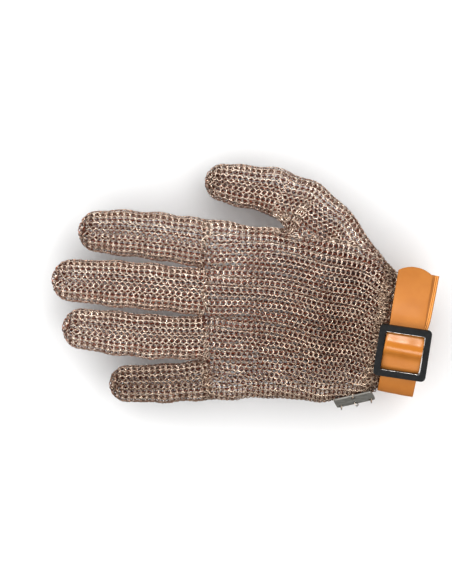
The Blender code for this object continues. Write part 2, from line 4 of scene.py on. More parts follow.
import bmesh
import bpy
import numpy as np
from mathutils import Matrix, Vector

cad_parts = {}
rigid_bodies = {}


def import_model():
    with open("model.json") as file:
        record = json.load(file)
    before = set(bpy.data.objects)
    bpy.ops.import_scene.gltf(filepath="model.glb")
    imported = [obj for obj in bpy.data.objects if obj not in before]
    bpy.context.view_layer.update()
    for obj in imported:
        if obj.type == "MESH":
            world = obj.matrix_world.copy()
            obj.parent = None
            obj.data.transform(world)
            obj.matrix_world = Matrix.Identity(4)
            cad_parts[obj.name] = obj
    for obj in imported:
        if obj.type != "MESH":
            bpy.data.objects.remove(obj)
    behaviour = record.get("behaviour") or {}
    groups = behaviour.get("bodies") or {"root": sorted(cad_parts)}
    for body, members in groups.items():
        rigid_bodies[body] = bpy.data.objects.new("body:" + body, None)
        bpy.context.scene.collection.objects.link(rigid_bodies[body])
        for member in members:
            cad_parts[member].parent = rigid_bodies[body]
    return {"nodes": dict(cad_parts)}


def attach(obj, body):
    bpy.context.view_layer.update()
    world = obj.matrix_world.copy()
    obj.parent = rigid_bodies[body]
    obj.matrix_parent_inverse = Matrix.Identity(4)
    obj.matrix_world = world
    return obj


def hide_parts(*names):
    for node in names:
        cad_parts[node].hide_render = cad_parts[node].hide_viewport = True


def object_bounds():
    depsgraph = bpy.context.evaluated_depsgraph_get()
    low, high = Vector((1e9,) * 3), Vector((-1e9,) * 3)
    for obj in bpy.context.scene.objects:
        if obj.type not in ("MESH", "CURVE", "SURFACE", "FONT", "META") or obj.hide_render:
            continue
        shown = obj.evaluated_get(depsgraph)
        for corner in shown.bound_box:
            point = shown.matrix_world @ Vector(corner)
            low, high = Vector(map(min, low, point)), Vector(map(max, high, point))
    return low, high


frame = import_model()
cad_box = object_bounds()

# ---- Worn form -----------------------------------------------------------------------------
# The mail has no shape of its own: it takes the hand's. The hand is a smooth union of
# flattened, tapering bones. All sizes up to the stage are in millimetres.

# Each row: x, y, z, half the width and half the thickness, from the wrist to the fingertip.
PALM_BONES = {
    "index_palm": (
        (24, 20, -4, 12.0, 17.0),
        (-8, 24.5, -1, 13.0, 19.5),
        (-50, 37, 1, 14.0, 18.0),
        (-90, 47, 2, 15.5, 15.5),
        (-116, 52.5, 2, 13.4, 13.4),
    ),
    "middle_palm": (
        (22, 4, -4, 13.0, 22.0),
        (-2, 8, 0, 13.0, 22.5),
        (-50, 17.5, 2, 14.0, 19.0),
        (-90, 24, 3.5, 14.5, 16.0),
        (-116, 26, 3, 13.6, 13.5),
    ),
    "ring_palm": (
        (19, -12, -4, 13.0, 22.0),
        (-4, -7.5, -1, 13.0, 22.5),
        (-50, -2.5, 0.5, 14.0, 18.5),
        (-90, 0.5, 2, 14.0, 15.5),
        (-116, 1, 1, 12.8, 13.0),
    ),
    "little_palm": (
        (16, -26, -5, 10.5, 17.0),
        (-8, -20.5, -3, 10.8, 18.5),
        (-34, -20.3, -2.5, 12.2, 17.5),
        (-60, -21.9, -2.5, 13.2, 17.0),
        (-90, -20.6, -1.5, 12.2, 14.5),
        (-112, -20.9, -3, 12.1, 12.2),
    ),
}
FINGER_BONES = {
    "index": (
        (-116, 53, 2, 13.1, 13.0),
        (-134, 55.9, 1, 13.0, 12.3),
        (-152, 58.6, -1, 12.8, 11.3),
        (-172, 60.6, -4, 12.2, 10.6),
        (-186, 61.3, -7, 11.4, 9.8),
    ),
    "middle": (
        (-116, 26, 3, 13.0, 13.2),
        (-136, 27.6, 2.5, 12.3, 12.4),
        (-156, 29.9, 1, 12.5, 11.4),
        (-176, 31.6, -2, 12.4, 10.8),
        (-201, 33.4, -7.5, 11.6, 9.8),
    ),
    "ring": (
        (-116, 1, 1, 12.1, 12.6),
        (-136, 0.6, 0.5, 11.4, 11.8),
        (-156, 1.4, -1.5, 11.8, 11.0),
        (-176, 3.4, -4, 11.6, 10.4),
        (-195.5, 5.9, -8.5, 11.1, 9.4),
    ),
    "little": (
        (-112, -21.5, -3, 11.9, 11.8),
        (-130, -23.8, -5, 10.6, 10.6),
        (-148, -25.2, -7.5, 10.2, 9.8),
        (-169.5, -25.5, -11, 10.0, 8.8),
    ),
}
THUMB_BONES = (
    (-16, 22, -6, 15.0, 18.0),
    (-34, 40, -7, 12.2, 16.5),
    (-50, 61, -8.5, 15.0, 15.5),
    (-68, 76.2, -10, 14.0, 13.5),
    (-86, 84.6, -11.5, 12.6, 12.0),
    (-104, 87.4, -13, 11.3, 10.8),
    (-114.8, 89.4, -14, 10.2, 9.8),
)
BLENDS = {"joint": 3.0, "palm": 9.0, "knuckle": 6.0, "thumb": 14.0, "mouth": 2.5}
WRIST_TILT = math.radians(-11)
WRIST_COS, WRIST_SIN = math.cos(WRIST_TILT), math.sin(WRIST_TILT)
MOUTH_HALF_WIDTH = 32.0     # of the oval at the wrist, beside the strap
MOUTH_HALF_HEIGHT = 21.0
FLARE_START = -23.4         # along the wrist, from where the oval widens towards the hand
SLOPE_PROBE = 0.05          # to either side of a place, to measure the slope there
FLATTEST_SLOPE = 0.05       # below which a slope is taken as this, so that no step runs away
LONGEST_STEP = 3.0


def blend_min(first, second, blend):
    """Smaller of two fields, rounded where they are closer than the blend."""
    share = np.clip(0.5 + 0.5 * (second - first) / blend, 0, 1)
    return second + (first - second) * share - blend * share * (1 - share)


def bone_field(points, start, end):
    """Field of one tapering bone: negative inside, zero on the surface."""
    start = np.array(start, float)
    end = np.array(end, float)
    run = end[:2] - start[:2]
    along = np.clip((points[..., :2] - start[:2]) @ run / (run @ run), 0, 1)[..., None]
    row = start + (end - start) * along
    across = np.hypot(points[..., 0] - row[..., 0], points[..., 1] - row[..., 1]) / row[..., 3]
    upright = (points[..., 2] - row[..., 2]) / row[..., 4]
    return (np.hypot(across, upright) - 1) * np.minimum(row[..., 3], row[..., 4])


def chain_field(points, rows):
    """Field of a chain of bones, with its joints rounded off."""
    field = bone_field(points, rows[0], rows[1])
    for start, end in zip(rows[1:-1], rows[2:]):
        field = blend_min(field, bone_field(points, start, end), BLENDS["joint"])
    return field


def wrist_point(along, across, up):
    """Points given along the wrist, across it and up."""
    return np.stack([along * WRIST_COS - across * WRIST_SIN,
                     along * WRIST_SIN + across * WRIST_COS, up], axis=-1)


def along_wrist(points):
    """How far along the wrist points lie."""
    return points[..., 0] * WRIST_COS + points[..., 1] * WRIST_SIN


def hand_field(points):
    """Field of the whole worn form, narrowed to an oval at the wrist."""
    palm = None
    for rows in PALM_BONES.values():
        field = chain_field(points, rows)
        palm = field if palm is None else blend_min(palm, field, BLENDS["palm"])
    fingers = np.min([chain_field(points, rows) for rows in FINGER_BONES.values()], axis=0)
    hand = blend_min(palm, fingers, BLENDS["knuckle"])
    hand = blend_min(hand, chain_field(points, THUMB_BONES), BLENDS["thumb"])
    across = points[..., 1] * WRIST_COS - points[..., 0] * WRIST_SIN
    flare = np.maximum(FLARE_START - along_wrist(points), 0)
    mouth = np.hypot(across / (MOUTH_HALF_WIDTH + flare),
                     points[..., 2] / (MOUTH_HALF_HEIGHT + flare)) - 1
    return -blend_min(-hand, -mouth * MOUTH_HALF_HEIGHT, BLENDS["mouth"])


def slope_of(points):
    """Slope of the worn form's field, which points out of the surface."""
    slope = np.empty_like(points)
    for axis in range(3):
        shift = np.zeros(3)
        shift[axis] = SLOPE_PROBE
        slope[..., axis] = hand_field(points + shift) - hand_field(points - shift)
    return slope / (2 * SLOPE_PROBE)


def settle(points, steps=5):
    """Points moved straight onto the surface of the worn form."""
    for _ in range(steps):
        slope = slope_of(points)
        steepness = np.maximum((slope ** 2).sum(axis=-1), FLATTEST_SLOPE)
        step = slope * (hand_field(points) / steepness)[..., None]
        length = np.maximum(np.linalg.norm(step, axis=-1), FLATTEST_SLOPE)[..., None]
        points = points - step * np.minimum(1, LONGEST_STEP / length)
    return points


def unit(vectors):
    return vectors / np.maximum(np.linalg.norm(vectors, axis=-1), 1e-9)[..., None]


# ---- Ring mail -----------------------------------------------------------------------------
# Thousands of small welded rings of round stainless wire, each linked through four others.
# Rows run lengthwise; the rings of one row lean one way and those of the next the other way.

MM = 0.001
RING_RADIUS = 1.76      # to the middle of the wire
RING_SIDES = 12
WIRE_RADIUS = 0.25
WIRE_SIDES = 4
WELD_SWELL = 1.25       # of the wire at its weld
RING_DEPTH = 0.95       # of the rings' centres under the outer skin
LEAN_BY_GAP = ((1.2, 50), (1.8, 38), (2.2, 30), (2.6, 28))  # degrees, by the gap between lines
SHINGLE_BY_PITCH = ((2.4, 22), (2.9, 14), (3.42, 11))       # degrees, by the pitch of a row
LEAN_NOISE = 2.5
SHINGLE_NOISE = 2.0
DEPTH_NOISE = 0.05
AIM_REACH = 6           # along a stall to either side, to find which way it points
UNDERSIDE_SHADE = 0.25   # by which the painted shade on the inner faces reaches further round the wire underneath
# Painted shade by region, darker and warmer than the fingers: the back, the little finger's side,
# part of the index finger and the cuff.
PAINTED_SHADE_CENTRE = (-62, 0)  # of the back, where painted shade darkens the rings more than on the fingers
PAINTED_SHADE_REACH = (58, 42)
PAINTED_SHADE_SIDE = (-12, 8)    # Y where the little finger's side starts, and its fade
PAINTED_SHADE_INDEX = (-108, 16, 43, 0.35)   # X where it starts, its fade, Y where it starts, its share
PAINTED_SHADE_CUFF = (-36, 7, 1.3)           # along the wrist: where it starts, its fade, its share
random = np.random.default_rng(7)


def chain_reach(rows):
    """How far along a chain of points each one lies."""
    steps = np.linalg.norm(np.diff(rows[:, :3], axis=0), axis=1)
    return np.concatenate([[0], np.cumsum(steps)])


def on_chain(reach, rows, columns=3):
    """Points of a chain at a reach along it."""
    lengths = chain_reach(rows)
    return np.stack([np.interp(reach, lengths, rows[:, i]) for i in range(columns)], axis=-1)


def stall_points(rows, reach, turn):
    """Points of a closed stall: reach runs along its bones and on over its rounded tip."""
    rows = np.array(rows, float)
    lengths = chain_reach(rows)
    inside = np.minimum(reach, lengths[-1])
    row = on_chain(inside, rows, 5)
    ahead = on_chain(np.minimum(inside + AIM_REACH, lengths[-1]), rows)
    behind = on_chain(np.maximum(inside - AIM_REACH, 0), rows)
    direction = unit(ahead - behind)
    side = unit(np.stack([-direction[..., 1], direction[..., 0], 0 * inside], axis=-1))
    tip = (reach - inside) / ((row[..., 3] + row[..., 4]) / 2)
    around = (side * (row[..., 3] * np.cos(turn))[..., None]
              + np.array([0, 0, 1]) * (row[..., 4] * np.sin(turn))[..., None])
    return (row[..., :3] + around * np.cos(tip)[..., None]
            + direction * (row[..., 3] * np.sin(tip))[..., None])


def wire_ring_faces(sides, spots, count):
    """Faces of a number of closed wire rings, each on its own run of points."""
    index = np.arange(sides * spots).reshape(sides, spots)
    quads = np.stack([index, np.roll(index, -1, 0), np.roll(np.roll(index, -1, 0), -1, 1),
                      np.roll(index, -1, 1)], axis=-1).reshape(-1, 4)
    return (np.arange(count)[:, None, None] * index.size + quads).reshape(-1, 4).tolist()


def make_piece(name, points, faces, finish, **values):
    """A smooth piece from points in millimetres, with values at its points for its finish."""
    mesh = bpy.data.meshes.new(name)
    mesh.from_pydata((points.reshape(-1, 3) * MM).tolist(), [], faces)
    mesh.shade_smooth()
    for kind, value in values.items():
        spread = mesh.attributes.new(kind, "FLOAT", "POINT")
        spread.data.foreach_set("value", np.ravel(value).astype(np.float32))
    mesh.materials.append(finish)
    piece = bpy.data.objects.new(name, mesh)
    bpy.context.scene.collection.objects.link(piece)
    return piece


def painted_shade_share(surface):
    """Share of painted shade on the rings: 0 on the fingers, 1 on the back, more at the cuff."""
    x, y = surface[:, 0], surface[:, 1]
    back = np.exp(-((x - PAINTED_SHADE_CENTRE[0]) / PAINTED_SHADE_REACH[0]) ** 2
                  - ((y - PAINTED_SHADE_CENTRE[1]) / PAINTED_SHADE_REACH[1]) ** 2)
    start, fade = PAINTED_SHADE_SIDE
    side = np.clip((start - y) / fade, 0, 1)
    start, fade, edge, share = PAINTED_SHADE_INDEX
    index_finger = share * np.clip((start - x) / fade, 0, 1) * (y > edge)
    start, fade, share = PAINTED_SHADE_CUFF
    cuff = share * np.clip((along_wrist(surface) - start) / fade, 0, 1)
    return np.max([back, side, index_finger, cuff], axis=0)


def mail_rings(name, surface, lengthwise, crosswise, lean, slump=0.0):
    """Rings at places on the worn form, as one mesh.

    lengthwise and crosswise are the steps to the next half-row and the next line, so they
    carry both direction and spacing. lean is +1 or -1: which way the ring's row leans.
    slump, in degrees, lays the rows of one lean flatter than those of the other.
    """
    count = len(surface)
    outward = unit(slope_of(surface))
    pitch = 2 * np.linalg.norm(lengthwise, axis=-1)
    gap = np.linalg.norm(crosswise, axis=-1)
    along = unit(lengthwise - outward * (lengthwise * outward).sum(axis=-1)[:, None])
    across = np.cross(outward, along)
    noise = random.normal(0, 1, (count, 3))
    tilt = lean * np.radians(np.interp(gap, *zip(*LEAN_BY_GAP))
                             + LEAN_NOISE * noise[:, 0]) + math.radians(slump)
    shingle = np.radians(np.interp(pitch, *zip(*SHINGLE_BY_PITCH))
                         + SHINGLE_NOISE * noise[:, 1])
    leant = outward * np.cos(tilt)[:, None] + across * np.sin(tilt)[:, None]
    second = across * np.cos(tilt)[:, None] - outward * np.sin(tilt)[:, None]
    first = along * np.cos(shingle)[:, None] + leant * np.sin(shingle)[:, None]
    axis = np.cross(first, second)
    middle = surface - outward * (RING_DEPTH + DEPTH_NOISE * noise[:, 2])[:, None]
    weld = random.uniform(0, 2 * math.pi, count)
    sides = np.arange(RING_SIDES) * 2 * math.pi / RING_SIDES
    spots = np.arange(WIRE_SIDES) * 2 * math.pi / WIRE_SIDES + math.pi / 4
    turn = weld[:, None] + sides
    radial = (first[:, None] * np.cos(turn)[..., None] + second[:, None] * np.sin(turn)[..., None])
    wire = np.full(RING_SIDES, WIRE_RADIUS)
    wire[0] *= WELD_SWELL
    points = (middle[:, None, None] + radial[:, :, None]
              * (RING_RADIUS + wire[:, None] * np.cos(spots))[None, :, :, None]
              + axis[:, None, None] * (wire[:, None] * np.sin(spots))[None, :, :, None])
    # facing: how far each point of the wire faces out of the hand; the inner and under faces get
    # painted shade
    facing = ((radial * outward[:, None]).sum(axis=-1)[..., None] * np.cos(spots)
              + (axis * outward).sum(axis=-1)[:, None, None] * np.sin(spots))
    facing = facing - UNDERSIDE_SHADE * np.clip(-2 * outward[:, 2], 0, 1)[:, None, None]
    # painted light on the fingers and painted shade on the back, its sides and the cuff, by region
    handled = np.repeat(1 - painted_shade_share(surface), RING_SIDES * WIRE_SIDES)
    piece = make_piece(name, points, wire_ring_faces(RING_SIDES, WIRE_SIDES, count), ring_steel,
                       facing=facing, handled=handled)
    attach(piece, "root")
    return piece


def start_finish(name):
    """A finish with its nodes, its links and its shader."""
    finish = bpy.data.materials.new(name)
    finish.use_nodes = True
    nodes, links = finish.node_tree.nodes, finish.node_tree.links
    return finish, nodes, links, nodes["Principled BSDF"]


def mottle(nodes, links, scale, detail, *stops):
    """A fine cloud over the piece, and the tones that it runs through."""
    place = nodes.new("ShaderNodeTexCoord")
    cloud = nodes.new("ShaderNodeTexNoise")
    cloud.inputs["Scale"].default_value = scale
    cloud.inputs["Detail"].default_value = detail
    links.new(place.outputs["Object"], cloud.inputs["Vector"])
    tones = nodes.new("ShaderNodeValToRGB")
    for element, (position, tone) in zip(tones.color_ramp.elements, stops):
        element.position = position
        element.color = (*tone, 1)
    links.new(cloud.outputs["Fac"], tones.inputs["Fac"])
    return cloud, tones


def rescale(nodes, links, source, low, high, least=0.0, most=1.0):
    """A value brought from the range of low to high into that of least to most."""
    scale = nodes.new("ShaderNodeMapRange")
    scale.inputs["From Min"].default_value = low
    scale.inputs["From Max"].default_value = high
    scale.inputs["To Min"].default_value = least
    scale.inputs["To Max"].default_value = most
    links.new(source, scale.inputs["Value"])
    return scale.outputs["Result"]


def read_value(nodes, kind):
    """What make_piece set under this name at each point."""
    value = nodes.new("ShaderNodeAttribute")
    value.attribute_name = kind
    return value.outputs["Fac"]


ring_steel, nodes, links, shader = start_finish("welded_ring_steel")
shader.inputs["Metallic"].default_value = 1.0
# the steel's warm tones are partly its own tint and partly a painted reflection of warm
# surroundings
cloud, tones = mottle(nodes, links, 260, 2,
                      (0.3, (0.42, 0.33, 0.27)), (0.68, (0.84, 0.75, 0.645)))
inner_face_shade = nodes.new("ShaderNodeMix")      # painted shade: the wire's faces turned into the hand are dark brown
inner_face_shade.data_type = "RGBA"
inner_face_shade.inputs["A"].default_value = (0.40, 0.155, 0.097, 1)
links.new(rescale(nodes, links, read_value(nodes, "facing"), -0.35, 0.2), inner_face_shade.inputs["Factor"])
links.new(tones.outputs["Color"], inner_face_shade.inputs["B"])
region_light_and_shade = nodes.new("ShaderNodeMix")       # painted light and shade by region: darker and warmer away from the fingers, most at the cuff; a little brighter on the fingers
region_light_and_shade.data_type = "RGBA"
region_light_and_shade.clamp_factor = False
region_light_and_shade.inputs["A"].default_value = (0.83, 0.77, 0.72, 1)
region_light_and_shade.inputs["B"].default_value = (1.08, 1.07, 1.06, 1)
links.new(read_value(nodes, "handled"), region_light_and_shade.inputs["Factor"])
steel_with_painted_light_and_shade = nodes.new("ShaderNodeVectorMath")
steel_with_painted_light_and_shade.operation = "MULTIPLY"
links.new(inner_face_shade.outputs["Result"], steel_with_painted_light_and_shade.inputs[0])
links.new(region_light_and_shade.outputs["Result"], steel_with_painted_light_and_shade.inputs[1])
links.new(steel_with_painted_light_and_shade.outputs["Vector"], shader.inputs["Base Color"])
links.new(rescale(nodes, links, cloud.outputs["Fac"], 0.3, 0.7, 0.38, 0.22),
          shader.inputs["Roughness"])

# ---- Finger stalls -------------------------------------------------------------------------
# Closed tubes of ring mail, 22 rings round, that narrow over the fingertip to a single ring.
# Worn, the mail is drawn taut over the finger and bunches underneath.

FINGER_PITCH = 3.42     # of a row's rings; the rows between them lie half a pitch along
ROUND_COUNT = 22
BUNCHING = 0.22         # share by which the rings crowd underneath
ROOT_X = {"index": -126.5, "middle": -126.5, "ring": -126.5, "little": -122.5}
ROOT_SINK = 1.2         # how deep in the hand a stall's rings go on
TIP_COUNTS = ((0.8, ROUND_COUNT), (0.5, 14), (0.25, 7), (0.06, 3), (-1.0, 1))


def stall_rings(rows, first_x, pitch=FINGER_PITCH):
    """Places, steps and leans of a stall's rings, from its tip back to its root."""
    rows = np.array(rows, float)
    length = chain_reach(rows)[-1]
    radius = (rows[-1, 3] + rows[-1, 4]) / 2
    tip = length + radius * math.pi / 2
    places, lengthwise, crosswise, leans = [], [], [], []
    for number in range(int(tip / (pitch / 2)) + 1):
        reach = tip - number * pitch / 2
        level = math.cos(max(0, reach - length) / radius)
        around = next(count for least, count in TIP_COUNTS if level > least)
        turn = math.pi + 2 * math.pi * (np.arange(around) + (number % 2) / 2) / around
        step = math.pi / around * (1 + BUNCHING * np.sin(turn))
        turn = turn - BUNCHING * np.cos(turn)
        spot = np.full(around, reach)
        raw = stall_points(rows, spot, turn)
        bone_x = np.interp(reach, chain_reach(rows), rows[:, 0])
        on = (hand_field(raw) > -ROOT_SINK) & (bone_x < first_x)
        if not on.any():
            continue
        back = stall_points(rows, spot - pitch / 4, turn)
        front = stall_points(rows, spot + pitch / 4, turn)
        left = stall_points(rows, spot, turn - step / 2)
        right = stall_points(rows, spot, turn + step / 2)
        places.append(settle(raw[on]))
        lengthwise.append((back - front)[on])
        crosswise.append((right - left)[on])
        leans.append(np.full(on.sum(), 1 - 2 * (number % 2)))
    return [np.concatenate(a) for a in (places, lengthwise, crosswise, leans)]


for finger, rows in FINGER_BONES.items():
    stall = mail_rings("mail_" + finger + "_rings", *stall_rings(rows, ROOT_X[finger]))
    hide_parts("mail_" + finger)

# ---- Palm and back -------------------------------------------------------------------------
# One tube of ring mail from the knuckles to the wrist, open along the thumb's side behind
# the web. Its lines crowd together under the palm and its rows towards the wrist.

PALM_LINES = 106        # from the thumb seam on the back round the little finger's side
FRONT_LINES = 12        # that close the tube in front of the thumb's web
BACK_LINES = 44         # of them in the back's piece
KNUCKLE_X = -125.0
WEB_X = -81.0
HEEL_X = -62.0
BACK_SEAM = ((-126, 64.1), (-113, 64.4), (-95, 62.5), (-77, 60.4), (-71, 58.7), (-31.4, 52.0),
             (-22, 44.2), (-17, 41.0))
PALM_SEAM = ((-126, 62), (-81, 56), (-60, 50), (-30, 44.5), (-22, 41), (-17, 38))
PALM_PITCHES = ((0, 3.4), (0.5, 2.9), (1, 2.37))
BACK_SPREADS = ((0, 1.45), (0.75, 2.1), (1, 2.3))   # of the back's lines against the palm's
BACK_EASE = (25, 7)     # lines from the seam where the spread ends, and over how many it fades
BACK_SLUMP = 13.0       # degrees by which the back's rows lie over to one side
PALM_START = (KNUCKLE_X, 16.5, 1.0)
MAIL_END = -15.0        # along the wrist, under the strap
CLEAR = 45.0            # a distance that is outside the hand, above it and beside it
CLEAR_OF_THUMB = 110.0  # across, from the middle of the palm
CLEAR_OF_EDGE = 85.0
CLEAR_OF_CAP = 40.0     # from the middle of the edge's rounding
EDGE_DROP = 3.0         # of the hand's two edges under the middle of the palm
EDGE_ROUND = 12.0       # from the little finger's edge in to the middle of its rounding


def march_in(points, direction, steps=45, longest=8):
    """Points brought in along a direction until they meet the worn form."""
    for _ in range(steps):
        points = points + direction * np.clip(hand_field(points), 0, longest)[..., None]
    return points


def seam_y(table, x):
    return np.interp(x, *zip(*table))


shares = [0.0]
start = np.array(PALM_START)
end = wrist_point(MAIL_END, 0.0, 0.0)
run = np.linalg.norm(end - start)
while shares[-1] < 1:
    shares.append(shares[-1] + np.interp(shares[-1], *zip(*PALM_PITCHES)) / 2 / run)
shares = np.array(shares[:-1])
centres = start + (end - start) * shares[:, None]
turns = WRIST_TILT * shares
across = np.stack([-np.sin(turns), np.cos(turns), 0 * turns], axis=-1)
up = np.array([0.0, 0.0, 1.0])


def across_reach(table):
    """How far across each row its seam lies."""
    reach = np.full(len(shares), CLEAR)
    for _ in range(20):
        spot = centres + across * reach[:, None]
        reach = reach + (seam_y(table, spot[:, 0]) - spot[:, 1])
    return reach


limit = march_in(centres + across * CLEAR_OF_THUMB - up * EDGE_DROP, -across)
limit = ((limit - centres) * across).sum(axis=-1) - 3      # a little inside the thumb's edge
top_reach = np.minimum(across_reach(BACK_SEAM), limit)
bottom_reach = np.minimum(across_reach(PALM_SEAM), limit)
edge = march_in(centres - across * CLEAR_OF_EDGE - up * EDGE_DROP, across)
edge_reach = ((edge - centres) * across).sum(axis=-1) + EDGE_ROUND
fine = np.linspace(0, 1, 70)
turn = np.linspace(math.pi / 2, -math.pi / 2, 31)[1:-1]
over = top_reach[:, None] + (edge_reach - top_reach)[:, None] * fine
under = edge_reach[:, None] + (bottom_reach - edge_reach)[:, None] * fine
cap = (centres + across * edge_reach[:, None] - up * 2)[:, None]
outward = (-across[:, None] * np.cos(turn)[None, :, None] + up * np.sin(turn)[None, :, None])
outline = np.concatenate([
    march_in(centres[:, None] + across[:, None] * over[..., None] + up * CLEAR, -up),
    march_in(cap + outward * CLEAR_OF_CAP, -outward),
    march_in(centres[:, None] + across[:, None] * under[..., None] - up * CLEAR, up),
], axis=1)
lines = np.arange(PALM_LINES + 1)
palm = np.empty((len(shares), PALM_LINES + FRONT_LINES, 3))
for number, (share, points) in enumerate(zip(shares, outline)):
    reach = chain_reach(points)
    column = (lines[:-1] + 0.5) / 2
    last, fade = BACK_EASE
    ease = np.clip((last - column) / fade, 0, 1)
    spread = np.interp(share, *zip(*BACK_SPREADS))
    weights = 1 + (spread - 1) * ease * ease * (3 - 2 * ease)
    spots = np.concatenate([[0], np.cumsum(weights)]) / weights.sum() * reach[-1]
    spots = on_chain(spots, points)
    palm[number, :PALM_LINES + 1] = spots
    bone = np.array(PALM_BONES["index_palm"], float)[::-1]
    x, y, z, wide, thick = (np.interp(spots[0, 0], bone[:, 0], bone[:, i]) for i in range(5))
    angles = [math.atan2((spots[i, 2] - z) / thick, (spots[i, 1] - y) / wide) for i in (-1, 0)]
    angles = np.linspace(*angles, FRONT_LINES + 1)[1:-1]
    palm[number, PALM_LINES + 1:] = np.stack(
        [np.full(len(angles), spots[0, 0]), y + wide * np.cos(angles),
         z + thick * np.sin(angles)], axis=-1)
for _ in range(12):     # the lines are drawn smooth, and laid back on the hand each time
    for _ in range(5):
        palm[1:-1] += 0.25 * (palm[:-2] + palm[2:] - 2 * palm[1:-1])
    palm = settle(palm, 1)
lengthwise = np.gradient(palm, axis=0)
crosswise = (np.roll(palm, -1, 1) - np.roll(palm, 1, 1)) / 2
crosswise[:, 0] = palm[:, 1] - palm[:, 0]
crosswise[:, PALM_LINES] = palm[:, PALM_LINES] - palm[:, PALM_LINES - 1]
half_row, line = np.indices(palm.shape[:2])
woven = (half_row + line) % 2 == 0
woven &= (line <= PALM_LINES) | (palm[..., 0] < WEB_X - 1)
leans = 1 - 2 * (line % 2)
below = (line >= BACK_LINES) & (line <= PALM_LINES)
for name, part, slump in (("mail_back", line < BACK_LINES, BACK_SLUMP),
                          ("mail_heel_face", below & (palm[..., 0] > HEEL_X), 0),
                          ("mail_palm_face", below & (palm[..., 0] <= HEEL_X), 0),
                          ("mail_index_side", line > PALM_LINES, 0)):
    part = part & woven
    sheet = mail_rings(name, palm[part], lengthwise[part], crosswise[part], leans[part], slump)
    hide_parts("mail_palm")

# ---- Thumb stall ---------------------------------------------------------------------------
# A stall like the fingers' whose root fans out behind the web, along the outer edge of the
# hand to the wrist.

THUMB_GAPS = (2.35, 1.75)   # between lines behind the web, above and under
THUMB_PITCH = 3.3
THUMB_REACH = 62.0      # arc length from the outer edge that the fan may cover
SEAM_GAP = 1.2          # from the seams to the nearest line of the fan

thumb = np.array(THUMB_BONES[::-1], float)
rings = stall_rings(THUMB_BONES, WEB_X, THUMB_PITCH)
reach = chain_reach(thumb)
fine = np.linspace(0, reach[-1], 240)
chain = on_chain(fine, thumb)
direction = unit(np.gradient(chain, axis=0) * (1, 1, 0))
for _ in range(30):
    direction[1:-1] = unit(direction[:-2] + 2 * direction[1:-1] + direction[2:])
side = np.stack([-direction[:, 1], direction[:, 0], 0 * fine], axis=-1)
outer = march_in(chain + side * CLEAR, -side)
spacing = chain_reach(outer)
behind = spacing[np.argmax(chain[:, 0] > WEB_X)]
stations = np.arange(behind, spacing[-1], THUMB_PITCH / 2)
chain, side = (np.stack([np.interp(stations, spacing, part[:, i]) for i in range(3)], axis=-1)
               for part in (chain, side))
side = unit(side)
turn = np.linspace(0, math.pi / 2, 16)
away = np.linspace(0, CLEAR, 60)[1:]
fan = []
for sign, gap in zip((1, -1), THUMB_GAPS):
    outward = (side[:, None] * np.cos(turn)[None, :, None]
               + up * (sign * np.sin(turn))[None, :, None])
    over = chain[:, None] - side[:, None] * away[None, :, None] + up * sign * CLEAR
    points = np.concatenate([march_in(chain[:, None] + outward * CLEAR, -outward),
                             march_in(over, -up * sign)], axis=1)
    spots = np.arange(0, THUMB_REACH, gap)
    fan.append(np.array([on_chain(spots, row) for row in points]))
middle = fan[0].shape[1] - 1
fan = np.concatenate([fan[0][:, :0:-1], fan[1]], axis=1)
fan = settle(fan, 3)
half_row, line = np.indices(fan.shape[:2])
top = line < middle
line = line - middle
seam = np.where(top, seam_y(BACK_SEAM, fan[..., 0]), seam_y(PALM_SEAM, fan[..., 0]))
woven = ((half_row + line) % 2 == 0) & (fan[..., 1] - seam > SEAM_GAP)
woven &= along_wrist(fan) < MAIL_END
lengthwise, crosswise = np.gradient(fan, axis=(0, 1))
leans = 1 - 2 * (line % 2)
rings = [np.concatenate([done, new[woven]])
         for done, new in zip(rings, (fan, lengthwise, crosswise, leans))]
stall = mail_rings("mail_thumb_rings", *rings)
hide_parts("mail_thumb")

# ---- Seams ---------------------------------------------------------------------------------
# Extra rows of rings close the joints between the sheets: round the root of each finger,
# across the web and along both edges of the thumb's sheet. They sit closer and lean further.

SEAM_PITCH = 2.3
SEAM_STEP = 1.3                         # to the next half-row, as the rings take it
SEAM_WIDTH = 1.7                        # to the next line
EDGE_SHIFT = (0, 0.7, 0)                # of the web's rows, off the palm's edge lines
WEB_CENTRE = (-80.5, 65.5, -4.0)
WEB_SHIFTS = (-1.5, 0.6)                # of its two rows, along X
WEB_BOW = (2, 5, 11)                    # how far a row swings back, out, and up and down
CROTCHES = ((-127.6, 40.8, 1.5), (-127.6, 13.5, 1.5), (-124.9, -11.6, -2))
CROTCH_DROP = 8                         # above and under the crotch between two fingers
HEEL_LEVELS = (4.6, 2.0, -0.6, -3.2)    # of the short rows that close the tube behind the thumb
HEEL_RUN = (-36.0, -14.5)               # along the wrist
ROOT_LOOP_X = -125.2
ROOT_WAVE = 0.9                         # by which the loops round the roots swing to and fro
ROOT_WAVES = 5
ROOT_LOOP_SINK = 0.8                    # how deep in the hand a loop goes on
ROOT_LOOP_LEAST = 6                     # points in the shortest stretch of loop that is kept


def seam_rings(paths):
    """Places, steps and leans of the rings along seams, each given as a row of points."""
    places, lengthwise, crosswise, leans = [], [], [], []
    for points in paths:
        reach = chain_reach(points)
        spots = np.linspace(0, reach[-1], max(2, int(reach[-1] / SEAM_PITCH)) + 1)
        row = settle(on_chain(spots, points))
        step = np.gradient(row, axis=0)
        outward = unit(slope_of(row))
        places.append(row)
        lengthwise.append(unit(step) * SEAM_STEP)
        crosswise.append(np.cross(outward, unit(step)) * SEAM_WIDTH)
        leans.append(1 - 2 * (np.arange(len(row)) % 2))
    return [np.concatenate(a) for a in (places, lengthwise, crosswise, leans)]


